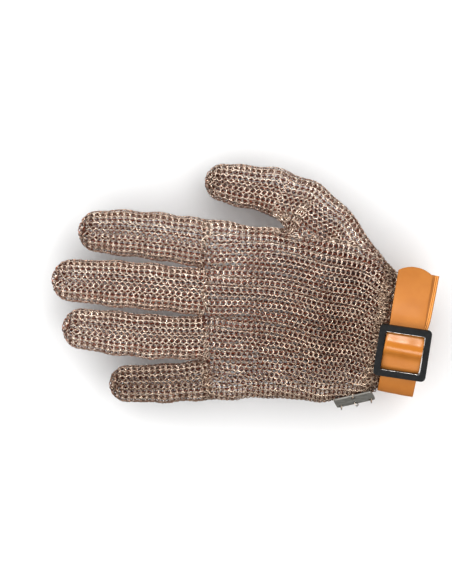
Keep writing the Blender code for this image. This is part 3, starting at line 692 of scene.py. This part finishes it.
behind_web = palm[:, 0, 0] > WEB_X
seams = [palm[behind_web, line] + EDGE_SHIFT for line in (0, PALM_LINES)]
turn = np.linspace(-1.35, 1.35, 30)
back, out, rise = WEB_BOW
for shift in WEB_SHIFTS:
    seams.append(WEB_CENTRE + np.stack([shift - back * np.abs(np.sin(turn)) ** 3,
                                        out * np.cos(turn), rise * np.sin(turn)], axis=-1))
for level in HEEL_LEVELS:
    row = np.array([wrist_point(along, 70, level) for along in np.linspace(*HEEL_RUN, 12)])
    seams.append(march_in(row, wrist_point(0, -1, 0)))
for crotch in CROTCHES:
    seams.append(crotch + np.linspace(-CROTCH_DROP, CROTCH_DROP, 9)[:, None] * up)
for finger, rows in FINGER_BONES.items():
    rows = np.array(rows, float)
    reach = np.interp(ROOT_LOOP_X, rows[::-1, 0], chain_reach(rows)[::-1])
    turn = np.linspace(0, 2 * math.pi, 160)
    loop = stall_points(rows, reach + ROOT_WAVE * np.sin(ROOT_WAVES * turn), turn)
    on = hand_field(loop) > -ROOT_LOOP_SINK
    runs = np.split(np.arange(len(turn)), np.flatnonzero(np.diff(on.astype(int))) + 1)
    seams.extend(loop[run] for run in runs if on[run[0]] and len(run) > ROOT_LOOP_LEAST)
mail_rings("mail_seam_rings", *seam_rings(seams))

# ---- Gathered cuff -------------------------------------------------------------------------
# The strap draws the wrist end of the mail together, so its last rows ride up on each other
# beside the strap and their rings lie every way.

CUFF_ROWS = ((-28.6, 0.6), (-26.8, 1.3), (-25.0, 2.0), (-23.6, 2.4))    # along, proud of the mail
CUFF_PITCH = 2.75
CUFF_STEP = 1.2
CUFF_WIDTH = 1.5
CUFF_PLACE_NOISE = 0.3
CUFF_RUN_NOISE = 0.2
CUFF_LEANS = (0.4, 1.1)     # shares of the full lean, drawn for each ring

places, lengthwise, crosswise, leans = [], [], [], []
for number, (along, proud) in enumerate(CUFF_ROWS):
    turn = np.linspace(0, 2 * math.pi, 181)[:-1]
    away = wrist_point(0, np.cos(turn), np.sin(turn))
    ring = march_in(wrist_point(along, 0, 0) + away * 60, -away)
    ring = ring + away * proud
    ring = np.concatenate([ring, ring[:1]])
    reach = chain_reach(ring)
    spots = (np.arange(int(reach[-1] / CUFF_PITCH)) + number / 2) * CUFF_PITCH
    spot = on_chain(spots, ring)
    spot += random.normal(0, CUFF_PLACE_NOISE, spot.shape)
    step = on_chain(spots + 1, ring) - spot
    outward = unit(slope_of(spot))
    run = unit(np.cross(outward, step)) + random.normal(0, CUFF_RUN_NOISE, spot.shape)
    places.append(spot)
    lengthwise.append(unit(run) * CUFF_STEP)
    crosswise.append(unit(step) * CUFF_WIDTH)
    leans.append((1 - 2 * (np.arange(len(spot)) % 2)) * random.uniform(*CUFF_LEANS, len(spot)))
mail_rings("mail_cuff_rings", *(np.concatenate(a) for a in (places, lengthwise, crosswise, leans)))

# ---- Wrist strap ---------------------------------------------------------------------------
# One ribbon of smooth orange plastic, moulded with a satin face and two fine beads along an
# edge of its inner face. It goes once round the wrist, folds round the buckle's bar and laps
# over itself, with its tongue on top.

STRAP_WIDTH = 20.6
STRAP_THICKNESS = 1.2
STRAP_CROWN = 0.16      # by which the faces fall away towards the edges
STRAP_EDGE = 0.34       # radius of the ribbon's edges
BEAD_PLACES = (9.5, 8.45)   # across the ribbon
BEADED_FROM = 7.6       # from where the inner face is cut finely enough to carry them
BEAD_HEIGHT = 0.3
BEAD_WIDTH = 0.24
STRAP_OVAL = (33.4, 22.4)
OVAL_TURN = (133.5, 420)        # degrees that the turn round the wrist takes up
OVAL_ALONG = (-11.0, -10.4)     # along the wrist, from its start to its end
TONGUE_RADIUS = 15.0
TONGUE_TAPER = 10.0     # reach over which the rounding of the tongue's end fades out
STRAP_STEP = 1.2
SLIDE_REACH = 48.0      # where it slides over the buckle's bar and is polished
SLIDE_SPREAD = 8.0
WIDTH_SHARES = ((0, 0.975), (38, 0.975), (44, 1.07), (64, 1.07), (72, 1.0))  # along its reach
END_TAPER = ((0, 0.25), (0.15, 0.75), (0.45, 1))        # of the tongue's thickness at its end
TAIL_TAPER = ((-0.3, 1), (0, 0.4))                      # and of the other end's
RIPPLE_HEIGHT = 0.07    # of a slow wave where it lies over the buckle, left by wear
RIPPLE_MIDDLE = -3.5    # across the wrist
RIPPLE_SPREAD = 4.0
RIPPLE_END = 60         # along the strap
# Points of the strap's run: across the wrist, up, and along the wrist.
TONGUE_RUN = (
    (39.0, 11.6, -12.5), (33.0, 15.6, -12.5), (27.0, 18.9, -12.4), (20.0, 21.7, -12.3),
    (12.0, 24.2, -12.1), (5.0, 25.25, -11.8), (0.8, 25.55, -11.5), (-2.2, 26.3, -11.4),
    (-5.5, 27.3, -11.4), (-8.6, 27.0, -11.4), (-10.6, 25.5, -11.4), (-11.8, 23.3, -11.4),
    (-13.6, 21.4, -11.3), (-16.5, 19.9, -11.2), (-20.0, 18.1, -11.1),
)
LAP_RUN = ((9.0, 21.57, -10.9), (2.0, 22.36, -11.3), (-4.5, 22.1, -11.4))
FOLD_CENTRE = (-7.6, 23.6)
FOLD_RADIUS = 1.8
FOLD_ALONG = -11.4
FOLD_TURNS = (-90, -126, -162, -198, -234, -270)
LAP_RETURN = (
    (-5.0, 25.4, -11.4), (-2.2, 24.55, -11.4), (1.0, 23.95, -10.8), (7.0, 23.45, -9.9),
    (12.0, 22.5, -9.5), (20.0, 19.9, -9.4), (27.0, 16.4, -9.3), (32.0, 13.4, -9.3),
    (36.5, 10.6, -9.3),
)

turn = np.radians(np.linspace(*OVAL_TURN, 33))
loop = np.stack([STRAP_OVAL[0] * np.cos(turn), STRAP_OVAL[1] * np.sin(turn),
                 np.linspace(*OVAL_ALONG, len(turn))], axis=-1)
turn = np.radians(FOLD_TURNS)
fold = np.stack([FOLD_CENTRE[0] + FOLD_RADIUS * np.cos(turn),
                 FOLD_CENTRE[1] + FOLD_RADIUS * np.sin(turn),
                 np.full(len(turn), FOLD_ALONG)], axis=-1)
corners = np.concatenate([TONGUE_RUN, loop, LAP_RUN, fold, LAP_RETURN])
padded = np.concatenate([2 * corners[:1] - corners[1:2], corners,
                         2 * corners[-1:] - corners[-2:-1]])
share = np.linspace(0, 1, 12, endpoint=False)[:, None]
run = np.concatenate([
    0.5 * (2 * b + (c - a) * share + (2 * a - 5 * b + 4 * c - d) * share ** 2
           + (3 * b - a - 3 * c + d) * share ** 3)
    for a, b, c, d in zip(padded, padded[1:], padded[2:], padded[3:])] + [corners[-1:]])
reach = chain_reach(run)
for _ in range(8):      # the corners are eased
    run[1:-1] += 0.25 * (run[:-2] + run[2:] - 2 * run[1:-1])

half = STRAP_WIDTH / 2 - STRAP_EDGE
face = np.linspace(-half, half, 15)
back = np.concatenate([np.linspace(-half, BEADED_FROM, 11),
                       np.arange(BEADED_FROM + 0.2, half, 0.16), [half]])
bead = sum(np.exp(-((back - place) / BEAD_WIDTH) ** 2) for place in BEAD_PLACES)
thick = [STRAP_THICKNESS / 2 - STRAP_CROWN * (part / half) ** 4 for part in (face, back)]
edge = np.linspace(math.pi / 2, -math.pi / 2, 7)[1:-1]
round_edge = np.stack([half + STRAP_EDGE * np.cos(edge), thick[0][-1] * np.sin(edge)], axis=-1)
profile = np.concatenate([
    np.stack([face, thick[0]], axis=-1), round_edge,
    np.stack([back, -thick[1] - BEAD_HEIGHT * bead], axis=-1)[::-1],
    round_edge[::-1] * (-1, 1)])
taper = END_TAPER + tuple((reach[-1] + back_by, share) for back_by, share in TAIL_TAPER)
rows = np.arange(0, reach[-1], STRAP_STEP)
rows = np.concatenate([[place for place, share in taper[:3]], rows[1:],
                       [place for place, share in taper[3:]]])
pinch = np.interp(rows, *zip(*taper))
wide, high = profile.T
drawn = TONGUE_RADIUS - np.sqrt(TONGUE_RADIUS ** 2 - wide ** 2)
spots = rows[:, None] + drawn * np.clip(1 - rows / TONGUE_TAPER, 0, 1)[:, None]
across, height, along = (np.interp(spots, reach, run[:, i]) for i in range(3))
slope = np.gradient(run, axis=0)
slope = np.stack([np.interp(spots, reach, slope[:, i]) for i in range(2)], axis=-1)
slope = slope / np.linalg.norm(slope, axis=-1)[..., None]
ripple = RIPPLE_HEIGHT * np.exp(-((across - RIPPLE_MIDDLE) / RIPPLE_SPREAD) ** 2)
ripple = ripple * (spots < RIPPLE_END) * np.sin(0.62 * wide + 0.8)
lift = high * pinch[:, None] + ripple
across = across + slope[..., 1] * lift
height = height - slope[..., 0] * lift
along = along + wide * np.interp(rows, *zip(*WIDTH_SHARES))[:, None]
points = wrist_point(along, across, height)
# where the painted highlight lies, along the beads' crests
bead_highlight_mask = np.tile(np.concatenate([0 * face, 0 * edge, bead[::-1] ** 2, 0 * edge]), len(rows))


def swept_faces(rows, around):
    """Faces of a closed outline swept along a row of places, with a face at either end."""
    index = np.arange(rows * around).reshape(rows, around)
    ahead = np.roll(index, -1, 1)
    quads = np.stack([index[:-1], ahead[:-1], ahead[1:], index[1:]], axis=-1).reshape(-1, 4)
    return quads.tolist() + [index[0][::-1].tolist(), index[-1].tolist()]


orange, nodes, links, shader = start_finish("satin_orange_plastic")
shader.inputs["Coat Weight"].default_value = 0.05
shader.inputs["Coat Roughness"].default_value = 0.15
shader.inputs["Specular IOR Level"].default_value = 0.36
cloud, tones = mottle(nodes, links, 90, 3,
                      (0.3, (0.32, 0.117, 0.015)), (0.7, (0.36, 0.141, 0.0225)))
bead_highlight = nodes.new("ShaderNodeMix")       # painted highlight: the beads' crests are paler orange
bead_highlight.data_type = "RGBA"
bead_highlight.inputs["B"].default_value = (0.85, 0.42, 0.13, 1)
links.new(read_value(nodes, "bead"), bead_highlight.inputs["Factor"])
links.new(tones.outputs["Color"], bead_highlight.inputs["A"])
links.new(bead_highlight.outputs["Result"], shader.inputs["Base Color"])
smooth = nodes.new("ShaderNodeMix")
smooth.inputs["B"].default_value = 0.22
links.new(read_value(nodes, "slid"), smooth.inputs["Factor"])
links.new(rescale(nodes, links, cloud.outputs["Fac"], 0, 1, 0.54, 0.64), smooth.inputs["A"])
links.new(smooth.outputs["Result"], shader.inputs["Roughness"])
place = nodes.new("ShaderNodeTexCoord")
grain = nodes.new("ShaderNodeTexNoise")
grain.inputs["Scale"].default_value = 1400
links.new(place.outputs["Object"], grain.inputs["Vector"])
relief = nodes.new("ShaderNodeBump")
relief.inputs["Strength"].default_value = 0.12
relief.inputs["Distance"].default_value = 0.0001
links.new(grain.outputs["Fac"], relief.inputs["Height"])
links.new(relief.outputs["Normal"], shader.inputs["Normal"])
strap = make_piece("wrist_strap_ribbon", points, swept_faces(*points.shape[:2]), orange,
                   bead=np.clip(bead_highlight_mask, 0, 1),
                   slid=np.exp(-((spots - SLIDE_REACH) / SLIDE_SPREAD) ** 4))
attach(strap, "root")
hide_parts("wrist_strap")

# ---- Buckle --------------------------------------------------------------------------------
# A flat slide frame stamped from steel and coated black. The coating is mottled. Along the
# inner edge of its opening runs a thin strip of bare steel, a painted highlight where the bevel
# catches the light.

FRAME_CENTRE = (-13.1, -7.7, 23.9)
FRAME_TURN = math.radians(-8.5)
FRAME_LEAN = math.radians(18.1)
OPENING = (22.6, 22.7)
OPENING_CORNER = 0.8
EDGE_RADIUS = 0.14      # of the bright steel strip that stands as a painted highlight
EDGE_SINK = 0.16        # by which it sits in the frame
EDGE_LEVEL = 0.93       # above the frame's middle plane
EDGE_SPOTS = 8
EDGE_END = 0.1          # share of the radius that is left at its two ends

black, nodes, links, shader = start_finish("black_coated_steel_finish")
shader.inputs["Specular IOR Level"].default_value = 0.28
cloud, tones = mottle(nodes, links, 420, 4,
                      (0.35, (0.003, 0.0035, 0.004)), (0.72, (0.013, 0.014, 0.015)))
links.new(tones.outputs["Color"], shader.inputs["Base Color"])
links.new(rescale(nodes, links, cloud.outputs["Fac"], 0, 1, 0.3, 0.55),
          shader.inputs["Roughness"])
buckle = frame["nodes"]["strap_buckle"]
buckle.data.materials.clear()
buckle.data.materials.append(black)

# bare steel along the opening's inner edge: a painted highlight where the coated bevel catches the
# light
edge_highlight_steel, nodes, links, shader = start_finish("steel_edge_highlight")
shader.inputs["Metallic"].default_value = 1.0
shader.inputs["Roughness"].default_value = 0.3
cloud, tones = mottle(nodes, links, 500, 2,
                      (0.38, (0.12, 0.12, 0.12)), (0.55, (0.85, 0.85, 0.84)))
links.new(tones.outputs["Color"], shader.inputs["Base Color"])
path = []
for x, y, quarter in ((-1, -1, -2), (1, -1, -1), (1, 1, 0), (-1, 1, 1)):
    path.extend((x * (OPENING[0] / 2 - OPENING_CORNER) + OPENING_CORNER * math.cos(bend),
                 y * (OPENING[1] / 2 - OPENING_CORNER) + OPENING_CORNER * math.sin(bend),
                 EDGE_LEVEL) for bend in np.linspace(quarter, quarter + 1, 6) * math.pi / 2)
path = np.array(path[3:-3])
path[:, :2] += unit(path[:, :2]) * EDGE_SINK
ahead = unit(np.gradient(path, axis=0))
side = np.stack([ahead[:, 1], -ahead[:, 0], 0 * ahead[:, 0]], axis=-1)
turn = np.arange(EDGE_SPOTS) * 2 * math.pi / EDGE_SPOTS
thin = np.full((len(path), 1, 1), EDGE_RADIUS)
thin[[0, -1]] *= EDGE_END
points = (path[:, None] + thin * (side[:, None] * np.cos(turn)[None, :, None]
                                  + up * np.sin(turn)[None, :, None]))
place = (Matrix.Translation(FRAME_CENTRE) @ Matrix.Rotation(FRAME_TURN, 4, "Z")
         @ Matrix.Rotation(FRAME_LEAN, 4, "X"))
placed = np.array([place @ Vector(point) for point in points.reshape(-1, 3).tolist()])
rim = make_piece("buckle_rubbed_edge", placed, swept_faces(*points.shape[:2]), edge_highlight_steel)
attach(rim, "root")

# ---- Cuff plate ----------------------------------------------------------------------------
# A small bare tab cut from rolled sheet steel, dull from handling. Rings of the mail's own
# wire pass through its four holes and tie it to the cuff.

PLATE_CENTRE = (-40.3, -34.4, 3.3)
PLATE_ALONG = (21.6, 4.9, 3.4)
PLATE_DOWN = (2.4, -4.1, -8.8)
PLATE_HALF_HEIGHT = 5.0
TIE_PLACES = ((-8.8, 1), (0.0, 1), (8.8, 1), (0.0, -1))     # along the plate, lower or upper edge
TIE_SKEWS = (-0.3, 0.35, -0.3, 0.35)
TIE_RADIUS = 1.9
TIE_SIDES = 18
TIE_WIRE_SIDES = 6

plate_steel, nodes, links, shader = start_finish("rolled_sheet_steel")
shader.inputs["Metallic"].default_value = 0.35
cloud, tones = mottle(nodes, links, 900, 5,
                      (0.3, (0.165, 0.16, 0.145)), (0.7, (0.30, 0.29, 0.265)))
stretch = nodes.new("ShaderNodeMapping")    # draws the cloud out along the rolling
stretch.inputs["Scale"].default_value = (0.25, 1, 1)
links.new(cloud.inputs["Vector"].links[0].from_socket, stretch.inputs["Vector"])
links.new(stretch.outputs["Vector"], cloud.inputs["Vector"])
links.new(tones.outputs["Color"], shader.inputs["Base Color"])
links.new(rescale(nodes, links, cloud.outputs["Fac"], 0, 1, 0.55, 0.38),
          shader.inputs["Roughness"])
plate = frame["nodes"]["cuff_plate"]
plate.data.materials.clear()
plate.data.materials.append(plate_steel)

along = unit(np.array(PLATE_ALONG))
down = unit(np.array(PLATE_DOWN) - along * (along @ np.array(PLATE_DOWN)))
front = np.cross(down, along)
turn = np.arange(TIE_SIDES) * 2 * math.pi / TIE_SIDES
spots = np.arange(TIE_WIRE_SIDES) * 2 * math.pi / TIE_WIRE_SIDES
points = []
for (place, end), skew in zip(TIE_PLACES, TIE_SKEWS):
    lie = unit(down * end + along * skew)
    axis = unit(np.cross(lie, front))
    middle = np.array(PLATE_CENTRE) + along * place + down * end * PLATE_HALF_HEIGHT
    radial = lie * np.cos(turn)[:, None] + front * np.sin(turn)[:, None]
    points.append(middle + radial[:, None] * (TIE_RADIUS + WIRE_RADIUS * np.cos(spots))[:, None]
                  + axis * (WIRE_RADIUS * np.sin(spots))[:, None])
bright = np.ones((len(points), TIE_SIDES, TIE_WIRE_SIDES))
faces = wire_ring_faces(TIE_SIDES, TIE_WIRE_SIDES, len(points))
ties = make_piece("cuff_plate_ties", np.array(points), faces, ring_steel,
                  facing=bright, handled=bright)
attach(ties, "root")

# ---- Stage ---------------------------------------------------------------------------------
# A pale floor and backdrop under a soft grey dome, three soft lamps overhead and the camera
# straight above. Stage sizes are in metres.

FLOOR_HALF = 2.5
FLOOR_GAP = 0.0015      # under the glove's lowest point
DOME_LEVELS = ((0.3, 0.3), (0.55, 0.9), (0.8, 0.9), (0.93, 0.15))   # height and grey
DOME_NADIR, DOME_ZENITH = 0.03, 0.1
DOME_STRENGTH = 2.45
BACKDROP = 0.95
CAMERA_HEIGHT = 6.0
VIEW_WIDTH = 0.3329     # of the floor that the camera takes in
VIEW_CENTRE = Vector((-0.1134, 0.0268, 0.0))

bm = bmesh.new()
bmesh.ops.create_grid(bm, x_segments=1, y_segments=1, size=FLOOR_HALF)
mesh = bpy.data.meshes.new("floor")
bm.to_mesh(mesh)
bm.free()
floor = bpy.data.objects.new("floor", mesh)
floor.location.z = cad_box[0][2] - FLOOR_GAP
bpy.context.scene.collection.objects.link(floor)
paint, nodes, links, shader = start_finish("pale_floor")
shader.inputs["Base Color"].default_value = (0.92, 0.92, 0.92, 1)
shader.inputs["Roughness"].default_value = 0.9
mesh.materials.append(paint)
floor.visible_glossy = False

world = bpy.data.worlds.new("studio")
world.use_nodes = True
nodes, links = world.node_tree.nodes, world.node_tree.links
place = nodes.new("ShaderNodeTexCoord")
height = nodes.new("ShaderNodeSeparateXYZ")
links.new(place.outputs["Generated"], height.inputs["Vector"])
dome = nodes.new("ShaderNodeValToRGB")
for level, grey in DOME_LEVELS:
    stop = dome.color_ramp.elements.new(level)
    stop.color = (grey, grey, grey, 1)
for number, grey in ((0, DOME_NADIR), (-1, DOME_ZENITH)):
    dome.color_ramp.elements[number].color = (grey, grey, grey, 1)
links.new(height.outputs["Z"], dome.inputs["Fac"])
sky = nodes["Background"]
sky.inputs["Strength"].default_value = DOME_STRENGTH
links.new(dome.outputs["Color"], sky.inputs["Color"])
backdrop = nodes.new("ShaderNodeBackground")
backdrop.inputs["Color"].default_value = (BACKDROP, BACKDROP, BACKDROP, 1)
path = nodes.new("ShaderNodeLightPath")
seen = nodes.new("ShaderNodeMixShader")
links.new(path.outputs["Is Camera Ray"], seen.inputs["Fac"])
links.new(sky.outputs["Background"], seen.inputs[1])
links.new(backdrop.outputs["Background"], seen.inputs[2])
links.new(seen.outputs["Shader"], nodes["World Output"].inputs["Surface"])
bpy.context.scene.world = world

lit_by_key = bpy.data.collections.new("lit_by_key")
for item in bpy.data.objects:
    if item.type == "MESH" and item is not floor:
        lit_by_key.objects.link(item)
lit_by_fill = bpy.data.collections.new("lit_by_fill")
lit_by_fill.objects.link(strap)
# Each lamp: its name, its place from the view's centre, its size, its power and what it lights.
for name, offset, size, power, lit in (
        ("key", (0.12, 0.75, 1.35), 0.4, 10, lit_by_key),
        ("near", (-0.38, 0.28, 0.62), 0.3, 2, lit_by_key),
        ("fill", (0.15, -0.7, 0.8), 0.5, 5, lit_by_fill)):
    lamp = bpy.data.lights.new(name, "AREA")
    lamp.size = size
    lamp.energy = power
    item = bpy.data.objects.new(name, lamp)
    item.location = VIEW_CENTRE + Vector(offset)
    item.rotation_euler = (-Vector(offset)).to_track_quat("-Z", "Y").to_euler()
    bpy.context.scene.collection.objects.link(item)
    item.light_linking.receiver_collection = lit

lens = bpy.data.cameras.new("camera")
lens.sensor_width = 36
lens.lens = lens.sensor_width * CAMERA_HEIGHT / VIEW_WIDTH
camera = bpy.data.objects.new("camera", lens)
camera.location = VIEW_CENTRE + Vector((0, 0, CAMERA_HEIGHT))
bpy.context.scene.collection.objects.link(camera)
bpy.context.scene.camera = camera
bpy.context.scene.view_settings.view_transform = "Standard"
bpy.context.scene.view_settings.gamma = 0.85
